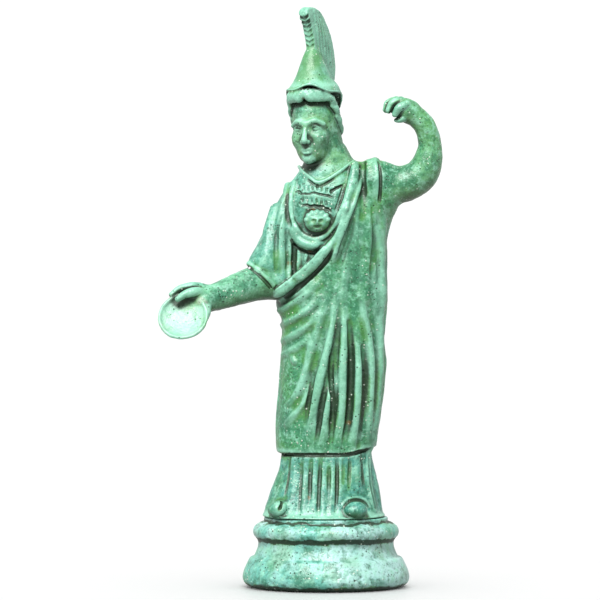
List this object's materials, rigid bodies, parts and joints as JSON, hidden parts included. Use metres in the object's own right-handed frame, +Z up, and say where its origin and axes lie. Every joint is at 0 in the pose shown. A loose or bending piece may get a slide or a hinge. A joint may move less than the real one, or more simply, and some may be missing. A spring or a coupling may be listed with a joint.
{
  "type": "bronze statuette of a standing helmeted goddess",
  "caption": "Small solid-cast bronze of a draped, helmeted goddess with an offering dish and one raised arm, on a round moulded base.",
  "frame": {"origin": "centre of the base's flat underside", "axes": "+Z up along the figure, -Y towards the front, +X to the right of the front view"},
  "size_m": [0.0586, 0.0348, 0.12],
  "materials": {
    "figure_bronze": "cast bronze with a smooth mint and green patina, dark green in the hollows, a few brown and olive spots, slight gloss",
    "base_bronze": "turned cast bronze with a pale blue-green, pitted patina, olive green under the mouldings"
  },
  "bodies": {
    "root": {"minerva_figure": "figure_bronze", "round_base": "base_bronze"}
  },
  "joints": []
}
